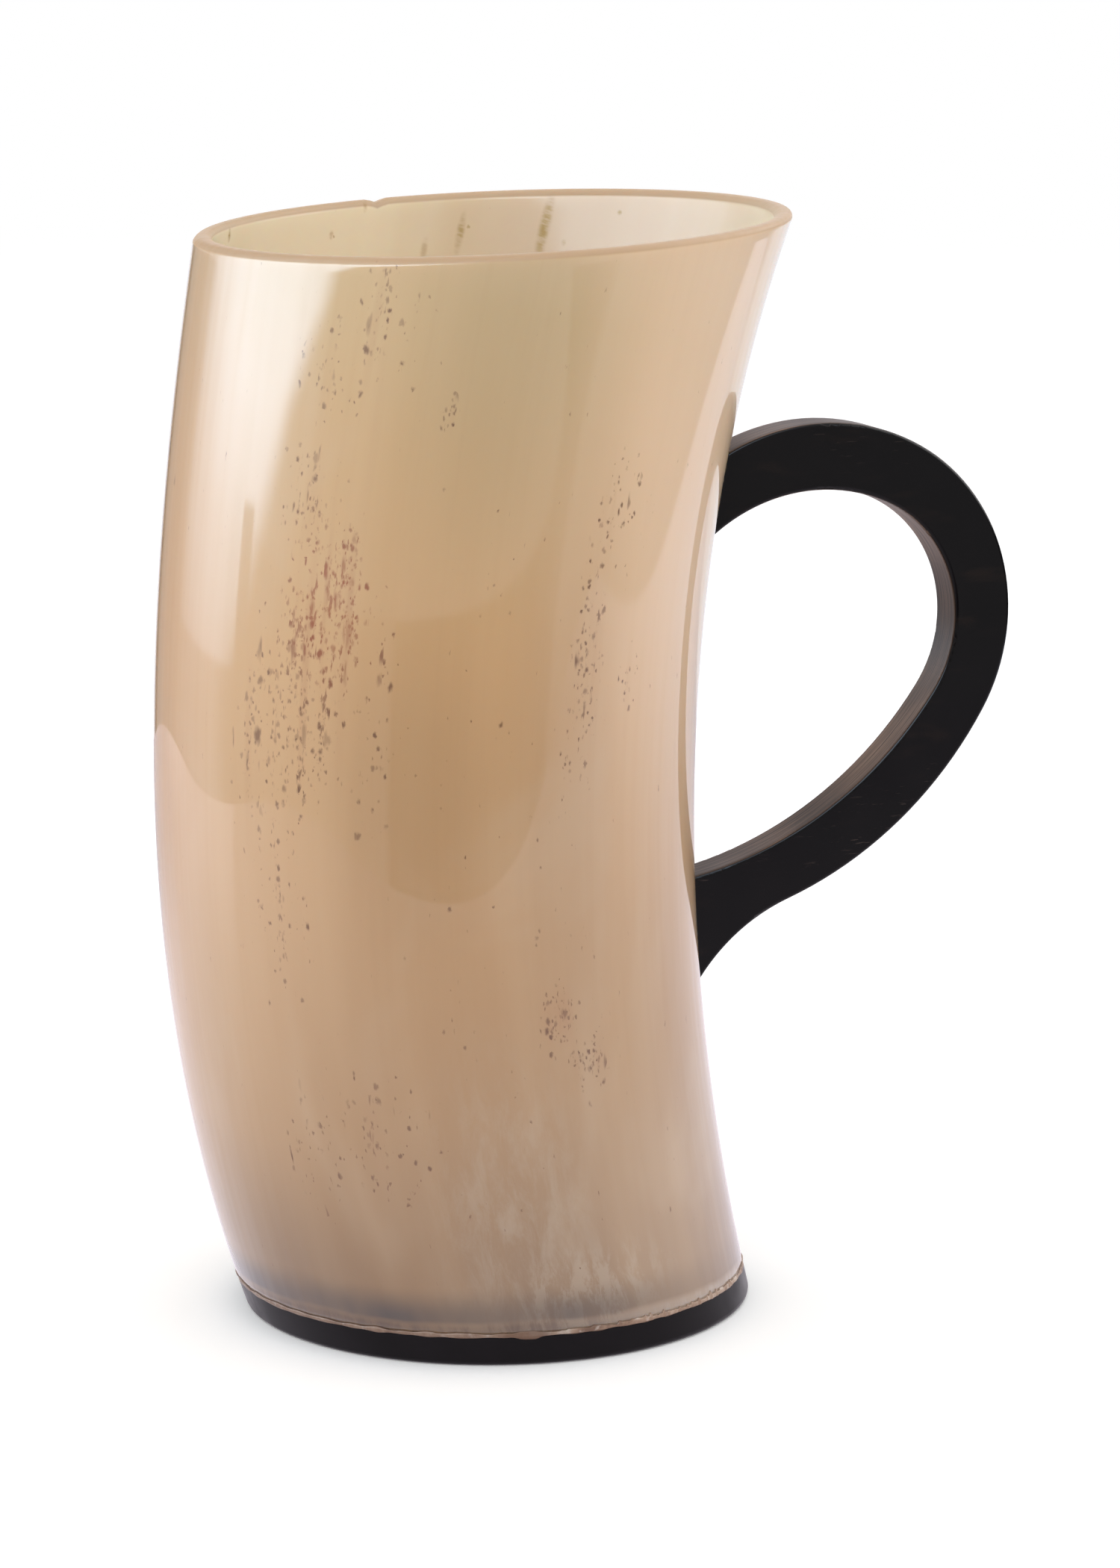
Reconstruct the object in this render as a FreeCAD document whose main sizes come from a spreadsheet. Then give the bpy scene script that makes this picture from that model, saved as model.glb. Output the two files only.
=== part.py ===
import FreeCAD, Part
import math
import os
import Sketcher

# Horn drinking mug: a curved, hollow cow horn on a flat black foot, with a flat
# D-shaped handle glued and dowelled to its side.
# Millimetres. Origin at the centre of the foot's underside, +Z up, +X towards the
# handle. The horn bends in the XZ plane and bulges towards -X.

os.makedirs("parts", exist_ok=True)
doc = FreeCAD.newDocument("horn_mug")

# ---------------------------------------------------------------- dimensions
DIMENSIONS = [
    # The horn's centreline is an arc about a point level with its belly. A section
    # square to it leans by station * station_lean degrees, -1 at the foot end to +1
    # at the lip end, and its radius and its offset follow the station.
    ("bend_radius", 267.0),
    ("belly_height", 73.0),
    ("station_lean", 20.0),
    ("foot_station", -0.793),
    ("foot_shift", 0.9),
    ("bend_easing", -2.7),
    ("belly_section_radius", 35.9),
    ("flare_first", 0.95),
    ("flare_second", -0.8),
    ("flare_third", 3.5),
    ("wall_at_belly", 3.0),
    ("wall_thinning", 0.65),
    # lip and foot
    ("lip_height", 146.0),
    ("lip_slope", 2.6),
    ("lip_round", 1.1),
    ("foot_disc_thickness", 4.2),
    ("foot_disc_round", 0.8),
    ("glue_line", 0.35),
    ("plug_gap", 0.25),
    ("plug_height", 5.0),
    ("seal_depth", 0.8),
    ("seal_meniscus", 2.0),
    ("seal_edge", 0.4),
    # handle plate, in the XZ plane; arcs named from its top joint round to its foot
    ("handle_thickness", 6.0),
    ("handle_edge_round", 0.6),
    ("handle_root", 24.5),
    ("outer_top_radius", 31.0),
    ("outer_top_x", 46.1),
    ("outer_top_z", 86.5),
    ("outer_bow_radius", 27.0),
    ("outer_bow_z", 90.0),
    ("outer_arm_radius", 56.0),
    ("outer_arm_x", 23.0),
    ("outer_flare_radius", 27.0),
    ("outer_flare_x", 51.0),
    ("inner_top_radius", 25.4),
    ("inner_top_x", 45.7),
    ("inner_top_z", 82.9),
    ("inner_bow_radius", 18.0),
    ("inner_bow_z", 89.7),
    ("inner_arm_radius", 55.5),
    ("inner_arm_x", 17.7),
    # dowels and glue between handle and horn
    ("handle_glue", 0.2),
    ("dowel_radius", 1.5),
    ("dowel_length", 9.0),
    ("dowel_gap", 0.05),
    ("upper_dowel_x", 26.6),
    ("upper_dowel_z", 107.3),
    ("lower_dowel_x", 24.4),
    ("lower_dowel_z", 51.5),
    ("joint_divide_z", 75.0),
    # cutters reach past everything they cut
    ("cutter_size", 240.0),
]

sheet = doc.addObject("Spreadsheet::Sheet", "Dimensions")
for row, (alias, value) in enumerate(DIMENSIONS, start=1):
    sheet.set(f"A{row}", alias)
    sheet.set(f"B{row}", str(value))
    sheet.setAlias(f"B{row}", alias)
doc.recompute()


def dim(alias):
    return getattr(sheet, alias)


def bind(thing, bindings):
    """Ties each property in bindings to an expression in the sheet's aliases."""
    for path, expression in bindings.items():
        thing.setExpression(path, expression)


# ---------------------------------------------------------------- horn forms
STATIONS = 7


def station_expressions(station, inset):
    """Centre, lean and radius of one section, for a form inset from the horn's skin."""
    lean = f"{station} * Dimensions.station_lean"
    foot_lean = "Dimensions.foot_station * Dimensions.station_lean"
    centre_x = (
        f"Dimensions.bend_radius * (cos({foot_lean}) - cos({lean}))"
        f" + Dimensions.bend_easing * ({station}^3 - Dimensions.foot_station^3)"
        " + Dimensions.foot_shift"
    )
    centre_z = f"Dimensions.belly_height + Dimensions.bend_radius * sin({lean})"
    radius = (
        f"Dimensions.belly_section_radius + Dimensions.flare_first * {station}"
        f" + Dimensions.flare_second * {station}^2"
        f" + Dimensions.flare_third * {station}^3"
    )
    wall = f"(Dimensions.wall_at_belly - Dimensions.wall_thinning * {station})"
    return centre_x, centre_z, lean, radius + inset.replace("wall", wall)


def horn_form(name, inset):
    """A solid horn lofted through round sections. The sections are turned over, so
    that the surface's seam runs down the belly, away from the handle."""
    sections = []
    for k in range(STATIONS):
        station = f"({2 * k - STATIONS + 1} / {STATIONS - 1})"
        centre_x, centre_z, lean, radius = station_expressions(station, inset)
        circle = doc.addObject("Part::Circle", f"{name}_section_{k}")
        circle.Placement.Rotation = FreeCAD.Rotation(FreeCAD.Vector(0, 1, 0), 180)
        bind(circle, {
            "Radius": radius,
            "Placement.Base.x": centre_x,
            "Placement.Base.z": centre_z,
            "Placement.Rotation.Angle": f"180 + {lean}",
        })
        sections.append(circle)
    loft = doc.addObject("Part::Loft", name)
    loft.Sections = sections
    loft.Solid = True
    loft.Ruled = False
    return loft


skin_form = horn_form("skin_form", "")
cope_form = horn_form("cope_form", " + Dimensions.handle_glue")
bore_form = horn_form("bore_form", " - wall")
plug_form = horn_form("plug_form", " - wall - Dimensions.plug_gap")
seal_void_form = horn_form("seal_void_form", " - wall - Dimensions.seal_edge")

# ---------------------------------------------------------------- cutters
def slab(name, low, high):
    """A wide level block between two heights."""
    block = doc.addObject("Part::Box", name)
    bind(block, {
        "Length": "Dimensions.cutter_size",
        "Width": "Dimensions.cutter_size",
        "Height": f"{high} - ({low})",
        "Placement.Base.x": "-Dimensions.cutter_size / 2",
        "Placement.Base.y": "-Dimensions.cutter_size / 2",
        "Placement.Base.z": low,
    })
    return block


def boolean(kind, name, base, tool):
    result = doc.addObject(f"Part::{kind}", name)
    result.Base = base
    result.Tool = tool
    return result


def common(name, base, tool):
    return boolean("Common", name, base, tool)


def cut(name, base, tool):
    return boolean("Cut", name, base, tool)


DISC_TOP = "Dimensions.foot_disc_thickness"
HORN_FOOT = f"{DISC_TOP} + Dimensions.glue_line"
PLUG_TOP = f"{DISC_TOP} + Dimensions.plug_height"
FLOOR = f"{PLUG_TOP} + Dimensions.seal_depth"
SEAL_TOP = f"{FLOOR} + Dimensions.seal_meniscus"

# The lip is cut on a plane that climbs towards the handle.
above_lip = doc.addObject("Part::Box", "above_lip")
above_lip.Placement.Rotation = FreeCAD.Rotation(FreeCAD.Vector(0, 1, 0), 1)
bind(above_lip, {
    "Length": "Dimensions.cutter_size",
    "Width": "Dimensions.cutter_size",
    "Height": "Dimensions.cutter_size",
    "Placement.Base.x": "-Dimensions.cutter_size / 2 * cos(Dimensions.lip_slope)",
    "Placement.Base.y": "-Dimensions.cutter_size / 2",
    "Placement.Base.z":
        "Dimensions.lip_height"
        " - Dimensions.cutter_size / 2 * sin(Dimensions.lip_slope)",
    "Placement.Rotation.Angle": "-Dimensions.lip_slope",
})


def level_edges(shape, height, slope=0.0):
    """Names of the edges that lie in a plane at a height, climbing along +X."""
    names = []
    for number, edge in enumerate(shape.Edges, start=1):
        points = edge.discretize(9)
        rise = math.tan(math.radians(slope))
        if all(abs(p.z - height - p.x * rise) < 0.01 for p in points):
            names.append(f"Edge{number}")
    return names


def rounded(name, base, edges_of, radius):
    """A body that takes base and rounds the edges that edges_of picks from it."""
    body = doc.addObject("PartDesign::Body", name)
    body.BaseFeature = base
    doc.recompute()
    blank = body.Tip
    fillet = body.newObject("PartDesign::Fillet", f"{name}_round")
    fillet.Base = (blank, edges_of(blank.Shape))
    fillet.setExpression("Radius", radius)
    body.Tip = fillet
    doc.recompute()
    return body


# ---------------------------------------------------------------- dowels
def dowel(name, x, z, gap=None):
    """A pin along X; with a gap it is the hole that the pin sits in."""
    pin = doc.addObject("Part::Cylinder", name)
    pin.Placement.Rotation = FreeCAD.Rotation(FreeCAD.Vector(0, 1, 0), 90)
    spare = f" + {gap}" if gap else ""
    bind(pin, {
        "Radius": f"Dimensions.dowel_radius{spare}",
        "Height": "Dimensions.dowel_length" + (f" + 2 * {gap}" if gap else ""),
        "Placement.Base.x": x + (f" - {gap}" if gap else ""),
        "Placement.Base.z": z,
    })
    return pin


UPPER_DOWEL = ("Dimensions.upper_dowel_x", "Dimensions.upper_dowel_z")
LOWER_DOWEL = ("Dimensions.lower_dowel_x", "Dimensions.lower_dowel_z")
upper_dowel = dowel("upper_dowel", *UPPER_DOWEL)
lower_dowel = dowel("lower_dowel", *LOWER_DOWEL)
upper_hole = dowel("upper_hole", *UPPER_DOWEL, gap="Dimensions.dowel_gap")
lower_hole = dowel("lower_hole", *LOWER_DOWEL, gap="Dimensions.dowel_gap")

# ---------------------------------------------------------------- horn shell
horn_above_foot = cut("horn_above_foot", skin_form,
                      slab("below_horn", "-Dimensions.cutter_size", HORN_FOOT))
horn_length = cut("horn_length", horn_above_foot, above_lip)
horn_hollow = cut("horn_hollow", horn_length, bore_form)
horn_upper_drilled = cut("horn_upper_drilled", horn_hollow, upper_hole)
horn_drilled = cut("horn_drilled", horn_upper_drilled, lower_hole)
horn_shell = rounded(
    "horn_shell", horn_drilled,
    lambda shape: level_edges(shape, dim("lip_height"), dim("lip_slope")),
    "Dimensions.lip_round")

# ---------------------------------------------------------------- foot
disc_slice = common("disc_slice", skin_form, slab("disc_slab", "0", DISC_TOP))
plug_slice = common("plug_slice", plug_form,
                    slab("plug_slab", f"{DISC_TOP} / 2", PLUG_TOP))
foot_blank = boolean("Fuse", "foot_blank", disc_slice, plug_slice)
foot_disc = rounded(
    "foot_disc", foot_blank,
    lambda shape: level_edges(shape, 0.0), "Dimensions.foot_disc_round")

seam_slice = common("seam_slice", skin_form, slab("seam_slab", DISC_TOP, HORN_FOOT))
sleeve_slice = common("sleeve_slice", bore_form,
                      slab("sleeve_slab", DISC_TOP, PLUG_TOP))
glue_blank = boolean("Fuse", "glue_blank", seam_slice, sleeve_slice)
foot_glue = cut("foot_glue", glue_blank, plug_form)

# Resin poured over the plug: a thin floor that climbs the wall in a hollow fillet.
seal_slice = common("seal_slice", bore_form, slab("seal_slab", PLUG_TOP, SEAL_TOP))
seal_void_slice = common("seal_void_slice", seal_void_form,
                         slab("seal_void_slab", FLOOR, f"2 * ({SEAL_TOP})"))
seal_void = rounded(
    "seal_void", seal_void_slice,
    lambda shape: level_edges(
        shape, dim("foot_disc_thickness") + dim("plug_height") + dim("seal_depth")),
    "Dimensions.seal_meniscus * 0.9")
floor_seal = cut("floor_seal", seal_slice, seal_void)


# ---------------------------------------------------------------- handle
def partner_centre(centre, gap, x=None, z=None, side=1):
    """The centre a set distance from another, given one of its coordinates."""
    if x is not None:
        return x, centre[1] + side * math.sqrt(gap ** 2 - (x - centre[0]) ** 2)
    return centre[0] + side * math.sqrt(gap ** 2 - (z - centre[1]) ** 2), z


def heading(start, end):
    return math.atan2(end[1] - start[1], end[0] - start[0])


def handle_outline(sketch):
    """Draws the D outline: tangent arcs round the outside, and round the inside."""
    root = dim("handle_root")
    radius = {name: dim(f"{name}_radius") for name in (
        "outer_top", "outer_bow", "outer_arm", "outer_flare",
        "inner_top", "inner_bow", "inner_arm")}
    centre = {
        "outer_top": (dim("outer_top_x"), dim("outer_top_z")),
        "inner_top": (dim("inner_top_x"), dim("inner_top_z")),
    }
    for side in ("outer", "inner"):
        top, bow, arm = f"{side}_top", f"{side}_bow", f"{side}_arm"
        centre[bow] = partner_centre(
            centre[top], radius[top] - radius[bow], z=dim(f"{bow}_z"))
        centre[arm] = partner_centre(
            centre[bow], radius[arm] - radius[bow], x=dim(f"{arm}_x"))
    centre["outer_flare"] = partner_centre(
        centre["outer_arm"], radius["outer_arm"] + radius["outer_flare"],
        x=dim("outer_flare_x"), side=-1)

    def root_angle(name):
        """Where an arc meets the root line, on its upper left."""
        return math.acos((root - centre[name][0]) / radius[name])

    top_to_bow = {side: heading(centre[f"{side}_top"], centre[f"{side}_bow"])
                  for side in ("outer", "inner")}
    arm_to_bow = {side: heading(centre[f"{side}_arm"], centre[f"{side}_bow"])
                  for side in ("outer", "inner")}
    arm_to_flare = heading(centre["outer_arm"], centre["outer_flare"])
    spans = {
        "outer_top": (top_to_bow["outer"], root_angle("outer_top")),
        "outer_bow": (arm_to_bow["outer"], top_to_bow["outer"]),
        "outer_arm": (arm_to_flare, arm_to_bow["outer"]),
        "outer_flare": (arm_to_flare + math.pi, root_angle("outer_flare")),
        "inner_arm": (-root_angle("inner_arm"), arm_to_bow["inner"]),
        "inner_bow": (arm_to_bow["inner"], top_to_bow["inner"]),
        "inner_top": (top_to_bow["inner"], root_angle("inner_top")),
    }
    curve = {}
    for name, (first, last) in spans.items():
        circle = Part.Circle(FreeCAD.Vector(*centre[name], 0),
                             FreeCAD.Vector(0, 0, 1), radius[name])
        curve[name] = sketch.addGeometry(Part.ArcOfCircle(circle, first, last))

    def root_line(name, lower_arc, lower_end, upper_arc, upper_end):
        ends = [sketch.getPoint(curve[lower_arc], lower_end),
                sketch.getPoint(curve[upper_arc], upper_end)]
        curve[name] = sketch.addGeometry(Part.LineSegment(*ends))
        constrain("Coincident", name, START, lower_arc, lower_end)
        constrain("Coincident", name, END, upper_arc, upper_end)
        constrain("Vertical", name)

    def constrain(kind, *where, size=None):
        """Adds a constraint; with a size, it's tied to that expression."""
        numbers = [curve.get(item, item) for item in where]
        if size is None:
            sketch.addConstraint(Sketcher.Constraint(kind, *numbers))
            return
        value = sketch.evalExpression(size)
        index = sketch.addConstraint(Sketcher.Constraint(kind, *numbers, value))
        sketch.setExpression(f"Constraints[{index}]", size)

    constrain("Tangent", "outer_top", START, "outer_bow", END)
    constrain("Tangent", "outer_bow", START, "outer_arm", END)
    constrain("Tangent", "outer_arm", START, "outer_flare", START)
    constrain("Tangent", "inner_arm", END, "inner_bow", START)
    constrain("Tangent", "inner_bow", END, "inner_top", START)
    root_line("lower_root", "outer_flare", END, "inner_arm", START)
    root_line("upper_root", "inner_top", END, "outer_top", END)

    for name in spans:
        constrain("Radius", name, size=f"Dimensions.{name}_radius")
    for name in ("outer_top", "inner_top", "outer_arm", "inner_arm", "outer_flare"):
        constrain("DistanceX", ORIGIN, START, name, CENTRE,
                  size=f"Dimensions.{name}_x")
    for name in ("outer_top", "inner_top", "outer_bow", "inner_bow"):
        constrain("DistanceY", ORIGIN, START, name, CENTRE,
                  size=f"Dimensions.{name}_z")
    for name in ("lower_root", "upper_root"):
        constrain("DistanceX", ORIGIN, START, name, START,
                  size="Dimensions.handle_root")


# Where a constraint takes hold of a curve, and the sketch's own origin.
START, END, CENTRE = 1, 2, 3
ORIGIN = -1

handle_blank = doc.addObject("PartDesign::Body", "handle_blank")
xz_plane = next(feature for feature in handle_blank.Origin.OriginFeatures
                if feature.Role == "XZ_Plane")
outline = handle_blank.newObject("Sketcher::SketchObject", "handle_outline")
outline.AttachmentSupport = (xz_plane, [""])
outline.MapMode = "FlatFace"
handle_outline(outline)
plate = handle_blank.newObject("PartDesign::Pad", "handle_plate")
plate.Profile = outline
plate.Midplane = True
plate.setExpression("Length", "Dimensions.handle_thickness")
doc.recompute()


def face_edges(shape):
    """Names of the outline's edges on both faces, leaving out the root lines."""
    names = []
    for number, edge in enumerate(shape.Edges, start=1):
        points = edge.discretize(5)
        on_face = len({round(p.y, 3) for p in points}) == 1
        beyond_root = max(p.x for p in points) > dim("handle_root") + 0.01
        if on_face and beyond_root:
            names.append(f"Edge{number}")
    return names


edge_round = handle_blank.newObject("PartDesign::Fillet", "handle_edge_round")
edge_round.Base = (plate, face_edges(plate.Shape))
edge_round.setExpression("Radius", "Dimensions.handle_edge_round")
handle_blank.Tip = edge_round

# The handle's ends are coped to the horn, a film of glue away from it.
handle_coped = cut("handle_coped", handle_blank, cope_form)
handle_upper_drilled = cut("handle_upper_drilled", handle_coped, upper_hole)
handle = cut("handle", handle_upper_drilled, lower_hole)

film_blank = common("film_blank", handle_blank, cope_form)
film = cut("film", film_blank, skin_form)
upper_film = common("upper_film", film, slab(
    "upper_film_slab", "Dimensions.joint_divide_z", "Dimensions.cutter_size"))
lower_film = common("lower_film", film, slab(
    "lower_film_slab", "0", "Dimensions.joint_divide_z"))
upper_handle_glue = cut("upper_handle_glue", upper_film, upper_hole)
lower_handle_glue = cut("lower_handle_glue", lower_film, lower_hole)
doc.recompute()

# ---------------------------------------------------------------- checks and files
SUBPARTS = {
    "horn_shell": horn_shell,
    "foot_disc": foot_disc,
    "foot_glue": foot_glue,
    "floor_seal": floor_seal,
    "handle": handle,
    "upper_dowel": upper_dowel,
    "lower_dowel": lower_dowel,
    "upper_handle_glue": upper_handle_glue,
    "lower_handle_glue": lower_handle_glue,
}

for thing in doc.Objects:
    if "Invalid" in thing.State or "Error" in thing.State:
        raise RuntimeError(f"{thing.Name} did not compute: {thing.State}")

for node, part in SUBPARTS.items():
    part.Label = node
    shape = part.Shape
    if shape.isNull() or not shape.isValid() or len(shape.Solids) != 1:
        raise RuntimeError(f"{node} is not one valid solid")
    shape.Solids[0].exportStep(f"parts/{node}.step")
    print(f"{node}: {shape.Volume / 1000:.2f} cm3")
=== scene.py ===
"""A horn drinking mug: pale translucent horn, black foot and black D handle.

Metres, in the CAD frame: the foot's underside is on z = 0, +X points to the handle,
and the horn bends in the XZ plane.
"""

import math

import bpy
import numpy as np
from mathutils import Matrix, Vector


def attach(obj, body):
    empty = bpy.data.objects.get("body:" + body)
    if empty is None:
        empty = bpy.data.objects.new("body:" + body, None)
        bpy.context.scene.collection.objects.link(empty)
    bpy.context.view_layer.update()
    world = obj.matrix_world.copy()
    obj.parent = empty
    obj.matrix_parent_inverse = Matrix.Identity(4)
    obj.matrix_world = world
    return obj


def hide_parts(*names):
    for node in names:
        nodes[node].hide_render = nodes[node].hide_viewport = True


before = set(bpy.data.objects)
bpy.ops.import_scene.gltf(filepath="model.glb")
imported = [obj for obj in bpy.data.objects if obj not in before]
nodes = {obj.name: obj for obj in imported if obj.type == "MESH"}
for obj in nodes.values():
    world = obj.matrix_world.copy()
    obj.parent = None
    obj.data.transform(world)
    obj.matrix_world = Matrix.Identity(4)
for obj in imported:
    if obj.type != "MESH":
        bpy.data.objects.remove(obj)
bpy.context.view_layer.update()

MM = 0.001

# The horn's shape, as in the CAD source. A station runs from -1 at the foot end of
# the horn to +1 at its lip end.
BEND_RADIUS = 267.0 * MM
BELLY_HEIGHT = 73.0 * MM
STATION_LEAN = math.radians(20.0)
FOOT_STATION = -0.793
FOOT_SHIFT = 0.9 * MM
BEND_EASING = -2.7 * MM
SECTION_RADIUS = (35.9 * MM, 0.95 * MM, -0.8 * MM, 3.5 * MM)
WALL_AT_BELLY = 3.0 * MM
WALL_THINNING = 0.65 * MM
LIP_HEIGHT = 146.0 * MM
LIP_SLOPE = math.tan(math.radians(2.6))
LIP_ROUND = 1.1 * MM
LIP_STATION = 0.75
HORN_FOOT = 4.55 * MM
DISC_TOP = 4.2 * MM

# How far the scraped skin stands off a true round, as waves: each one's share, waves
# round the horn and their phase, waves along it and their phase.
HANDWORK_DEPTH = 0.02 * MM
HANDWORK_WAVES = [
    (1.0, 2, 0.6, 5.6, 1.0),
    (0.7, 3, -1.1, 8.2, 2.2),
    (0.5, 9, 2.0, 3.0, 0.0),
]

# A small nick in the back of the lip.
NICK_ANGLE = math.radians(92.5)
NICK_HALF_WIDTH = math.radians(1.3)
NICK_DEPTH = 0.45 * MM

# The chip where the foot's glue runs down over the foot.
CHIP_ANGLE = math.radians(-104.0)
CHIP_HALF_WIDTH = math.radians(2.6)
# How deep the glue reaches in under the skin.
GLUE_DEPTH = 1.5 * MM
# Where the squeezed-out glue is crumbliest, and how far round that fades.
CRUMBLY_ANGLE = math.radians(-60)
CRUMBLY_HALF_WIDTH = math.radians(28)

# How finely the horn is meshed: points round it, rings up the skin and down the bore,
# and rings over the lip.
AROUND = 288
SKIN_RINGS = 170
BORE_RINGS = 90
LIP_RINGS = 17

# The camera: degrees round from -Y and up, then its roll, distance and target.
CAMERA_TURN = math.radians(-22.97)
CAMERA_RISE = math.radians(11.66)
CAMERA_ROLL = math.radians(0.29)
CAMERA_DISTANCE = 0.6943
CAMERA_TARGET = Vector((7.73, -2.89, 70.65)) * MM
FRAME_HEIGHT_AT_TARGET = 0.210
SENSOR_WIDTH = 36.0
FRONT = (math.sin(CAMERA_TURN), -math.cos(CAMERA_TURN), 0.0)

# The white sheet under the mug that the gloss sees: its turn, half sizes and centre,
# and how far its left and right corners are rounded.
SHEET_TURN = math.radians(19.2)
SHEET_HALF = (0.397, 0.328)
SHEET_CENTRE = (0.022, 0.063)
SHEET_CORNERS = (0.19, 0.08)


# ------------------------------------------------------------------ horn surface
def wall(station):
    return WALL_AT_BELLY - WALL_THINNING * station


def handwork(angle, station):
    """How far the scraped and polished skin stands off a true round, in metres."""
    return HANDWORK_DEPTH * sum(
        share * np.cos(around * angle + turn) * np.cos(along * station + shift)
        for share, around, turn, along, shift in HANDWORK_WAVES
    )


def horn_point(angle, station, inner=False):
    """Points of the horn's skin, or of its bore, as an array with x, y, z last."""
    lean = station * STATION_LEAN
    foot_lean = FOOT_STATION * STATION_LEAN
    centre_x = (
        BEND_RADIUS * (math.cos(foot_lean) - np.cos(lean))
        + BEND_EASING * (station**3 - FOOT_STATION**3)
        + FOOT_SHIFT
    )
    centre_z = BELLY_HEIGHT + BEND_RADIUS * np.sin(lean)
    radius = sum(k * station**power for power, k in enumerate(SECTION_RADIUS))
    radius = radius - wall(station) if inner else radius + handwork(angle, station)
    across = radius * np.cos(angle)
    return np.stack(
        [
            centre_x + across * np.cos(lean),
            radius * np.sin(angle),
            centre_z - across * np.sin(lean),
        ],
        axis=-1,
    )


def station_at(angle, height, slope=0.0, inner=False):
    """The station at which the horn meets a plane, for each angle."""
    low = np.full(angle.shape, -1.3)
    high = np.full(angle.shape, 1.3)
    for _ in range(40):
        middle = (low + high) / 2
        point = horn_point(angle, middle, inner)
        above = point[..., 2] > height + slope * point[..., 0]
        high = np.where(above, middle, high)
        low = np.where(above, low, middle)
    return (low + high) / 2


def unrolled(angle, station):
    """The horn straightened: texture space, so that grain follows the bend."""
    radius = SECTION_RADIUS[0]
    length = (station - FOOT_STATION) * STATION_LEAN * BEND_RADIUS
    return np.stack(
        [radius * np.cos(angle), radius * np.sin(angle), length], axis=-1
    )


def ring_mesh(name, rings, closed, attributes=None):
    """A smooth mesh over rings of points; closed joins the last ring to the first."""
    rings = np.asarray(rings)
    count, around = rings.shape[:2]
    k = np.arange(count if closed else count - 1)[:, None]
    i = np.arange(around)[None, :]
    j = (i + 1) % around
    up = (k + 1) % count
    quads = np.stack(
        [k * around + i, k * around + j, up * around + j, up * around + i], axis=-1
    )
    mesh = bpy.data.meshes.new(name)
    mesh.from_pydata(rings.reshape(-1, 3).tolist(), [], quads.reshape(-1, 4).tolist())
    for label, values in (attributes or {}).items():
        values = np.asarray(values, dtype=np.float32)
        kind = "FLOAT_VECTOR" if values.ndim == 3 else "FLOAT"
        layer = mesh.attributes.new(label, kind, "POINT")
        layer.data.foreach_set(
            "vector" if values.ndim == 3 else "value", values.ravel()
        )
    mesh.shade_smooth()
    mesh.update()
    thing = bpy.data.objects.new(name, mesh)
    bpy.context.scene.collection.objects.link(thing)
    return thing


def make_horn():
    """The horn as one closed skin: up the outside, over the lip, down the bore and
    back across the foot end. Its attributes are the place in the straightened horn,
    and 0 on the skin to 1 in the bore."""
    angle = np.linspace(0, 2 * np.pi, AROUND, endpoint=False)
    rings, grain, inside = [], [], []
    nick = NICK_DEPTH * np.exp(-(((angle - NICK_ANGLE) / NICK_HALF_WIDTH) ** 2))

    def add_ring(points, stations, inner_share):
        rings.append(points)
        grain.append(unrolled(angle, stations))
        inside.append(np.full(AROUND, inner_share))

    # up the skin, from the foot to where the lip starts to round over
    foot = station_at(angle, HORN_FOOT)
    shoulder = station_at(angle, LIP_HEIGHT - LIP_ROUND - nick, LIP_SLOPE)
    for share in np.linspace(0, 1, SKIN_RINGS):
        stations = foot + (shoulder - foot) * share
        add_ring(horn_point(angle, stations), stations, 0.0)

    # over the lip: side runs from +1 on the skin to -1 on the bore
    half_wall = wall(LIP_STATION) / 2
    flat = 1 - LIP_ROUND / half_wall
    turns = np.radians(np.linspace(90, -90, LIP_RINGS + 2)[1:-1])
    for turn in turns:
        side = math.copysign(flat, turn) + (1 - flat) * math.sin(turn)
        side = 0.0 if turn == 0 else side
        drop = LIP_ROUND * (1 - math.cos(turn))
        level = LIP_HEIGHT - drop - nick
        outer = station_at(angle, level, LIP_SLOPE)
        inner = station_at(angle, level, LIP_SLOPE, inner=True)
        skin = horn_point(angle, outer)
        bore = horn_point(angle, inner, inner=True)
        points = (skin + bore) / 2 + side * (skin - bore) / 2
        add_ring(points, (outer + inner) / 2, (1 - side) / 2)

    # down the bore
    top = station_at(angle, LIP_HEIGHT - LIP_ROUND - nick, LIP_SLOPE, inner=True)
    bottom = station_at(angle, HORN_FOOT, inner=True)
    for share in np.linspace(0, 1, BORE_RINGS):
        stations = top + (bottom - top) * share
        add_ring(horn_point(angle, stations, inner=True), stations, 1.0)

    return ring_mesh(
        "horn_body", rings, closed=True, attributes={"grain": grain, "inside": inside}
    )


def wander(angle, waves, seed):
    """A smooth random ripple round the mug, about 1 high, from waves per turn."""
    draw = np.random.default_rng(seed)
    total = np.zeros_like(angle)
    for count in waves:
        total += np.cos(count * angle + draw.uniform(0, 2 * np.pi))
    return total / math.sqrt(len(waves) / 2)


def angle_from(angle, centre):
    """Each angle measured from centre, between half a turn back and half a turn on."""
    return (angle - centre + math.pi) % (2 * math.pi) - math.pi


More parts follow.
